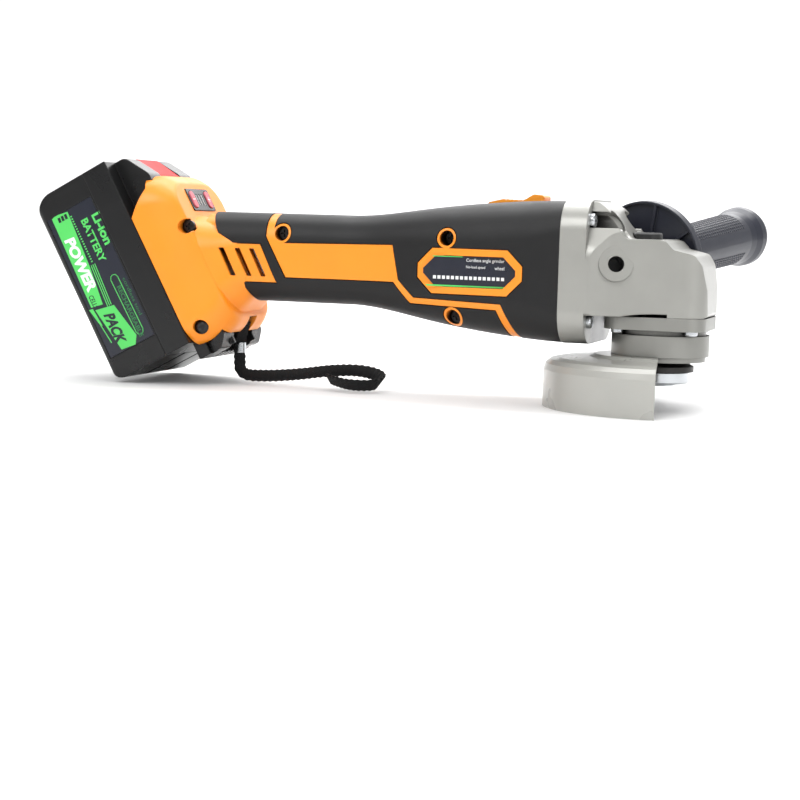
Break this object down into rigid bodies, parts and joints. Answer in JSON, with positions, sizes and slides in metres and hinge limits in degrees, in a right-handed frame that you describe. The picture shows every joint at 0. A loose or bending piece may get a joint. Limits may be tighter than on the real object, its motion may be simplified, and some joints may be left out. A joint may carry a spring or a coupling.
{
  "type": "cordless angle grinder",
  "caption": "Battery angle grinder: barrel grip body, gear head, turning wheel guard, side handle, slide switch, slide-on battery pack and wrist strap.",
  "frame": {"origin": "centre of the wheel seat: the inner flange's face on the spindle axis", "axes": "+Z along the spindle into the gear case (up in use), +X to the front of the head along the motor axis, +Y to the side handle"},
  "size_m": [0.3716, 0.2105, 0.1209],
  "materials": {
    "orange_nylon": "fine satin texture",
    "black_grip": "soft matt",
    "rating_plate": "printed satin",
    "zinc_steel": "zinc plated",
    "cast_head": "die cast, satin paint",
    "cast_cover": "die cast, bare",
    "ground_steel": "ground",
    "plated_steel": "zinc plated",
    "bronze": "sintered bronze",
    "felt": "felt",
    "black_plastic": "satin",
    "spring_steel": "bright wire",
    "guard_paint": "satin powder coat",
    "rotor_iron": "ground",
    "stator_iron": "laminated, wound",
    "inner_plastic": "moulded",
    "orange_switch": "satin",
    "circuit_board": "solder mask",
    "panel_plastic": "gloss film",
    "panel_buttons": "silicone",
    "battery_plastic": "fine texture",
    "battery_sticker": "printed film",
    "cell_cans": "sleeved cans",
    "red_latch": "satin",
    "handle_plastic": "moulded texture",
    "webbing": "woven"
  },
  "bodies": {
    "tool": {"body_shell_left": "orange_nylon", "body_shell_right": "orange_nylon", "grip_cover_left": "black_grip", "grip_cover_right": "black_grip", "rating_plate_left": "rating_plate", "rating_plate_right": "rating_plate", "housing_screws": "zinc_steel", "gear_case": "cast_head", "bearing_cover": "cast_cover", "cover_screws": "zinc_steel", "flange_screws": "zinc_steel", "spindle_bearing": "ground_steel", "top_bush": "bronze", "felt_seal": "felt", "lock_spring": "spring_steel", "motor_stator": "stator_iron", "front_bearing": "ground_steel", "rear_bearing": "ground_steel", "air_baffle": "inner_plastic", "micro_switch": "inner_plastic", "control_board": "circuit_board", "terminal_block": "inner_plastic", "speed_panel": "panel_plastic", "strap_bar": "zinc_steel", "wrist_strap": "webbing", "strap_crimp": "plated_steel"},
    "spindle": {"spindle": "ground_steel", "inner_flange": "plated_steel", "bevel_gear": "ground_steel", "retaining_ring": "zinc_steel"},
    "rotor": {"motor_shaft": "ground_steel", "rotor_magnet": "rotor_iron", "motor_fan": "inner_plastic", "drive_pinion": "ground_steel"},
    "wheel_nut": {"wheel_nut": "plated_steel"},
    "guard": {"wheel_guard": "guard_paint", "guard_clamp": "plated_steel", "clamp_screw": "zinc_steel", "clamp_nut": "zinc_steel"},
    "lock": {"lock_button": "black_plastic"},
    "switch": {"switch_slider": "orange_switch"},
    "battery": {"battery_case_outer": "battery_plastic", "battery_case_inner": "battery_plastic", "battery_screws": "zinc_steel", "battery_cells": "cell_cans", "cell_holder_left": "inner_plastic", "cell_holder_right": "inner_plastic", "battery_board": "circuit_board", "battery_label_left": "battery_sticker", "battery_label_right": "battery_sticker", "latch_spring": "spring_steel"},
    "latch": {"battery_latch": "red_latch"},
    "handle": {"side_handle": "handle_plastic", "handle_stud": "plated_steel"},
    "speed_up": {"speed_button_up": "panel_buttons"},
    "speed_down": {"speed_button_down": "panel_buttons"}
  },
  "joints": [
    {"name": "spindle_spin", "type": "hinge", "parent": "tool", "child": "spindle", "pos_m": [0, 0, 0], "axis": [0, 0, 1], "continuous": true},
    {"name": "rotor_spin", "type": "hinge", "parent": "tool", "child": "rotor", "pos_m": [-0.05, 0, 0.05], "axis": [1, 0, 0], "continuous": true},
    {"name": "nut_off", "type": "slide", "parent": "spindle", "child": "wheel_nut", "axis": [0, 0, -1], "range_m": [0, 0.02]},
    {"name": "guard_turn", "type": "hinge", "parent": "tool", "child": "guard", "pos_m": [0, 0, 0.01], "axis": [0, 0, 1], "range_deg": [-90, 30]},
    {"name": "lock_press", "type": "slide", "parent": "tool", "child": "lock", "axis": [0, 0, -1], "range_m": [0, 0.0035], "stiffness_N_per_m": 900, "springref_m": -0.003, "deforming": ["lock_spring"]},
    {"name": "switch_slide", "type": "slide", "parent": "tool", "child": "switch", "axis": [1, 0, 0], "range_m": [0, 0.007]},
    {"name": "battery_slide", "type": "slide", "parent": "tool", "child": "battery", "axis": [-0.4772, 0, 0.8788], "range_m": [0, 0.13]},
    {"name": "latch_press", "type": "slide", "parent": "battery", "child": "latch", "axis": [-0.8788, 0, -0.4772], "range_m": [0, 0.003], "stiffness_N_per_m": 900, "springref_m": -0.003, "deforming": ["latch_spring"]},
    {"name": "handle_off", "type": "slide", "parent": "tool", "child": "handle", "axis": [0.3067, 0.944, 0.1219], "range_m": [0, 0.02]},
    {"name": "speed_up_press", "type": "slide", "parent": "tool", "child": "speed_up", "axis": [-0.8788, 0, -0.4772], "range_m": [0, 0.0006], "stiffness_N_per_m": 1500, "springref_m": -0.0005},
    {"name": "speed_down_press", "type": "slide", "parent": "tool", "child": "speed_down", "axis": [-0.8788, 0, -0.4772], "range_m": [0, 0.0006], "stiffness_N_per_m": 1500, "springref_m": -0.0005}
  ],
  "couplings": [
    {"joint": "rotor_spin", "follows": "spindle_spin", "ratio": -3}
  ]
}
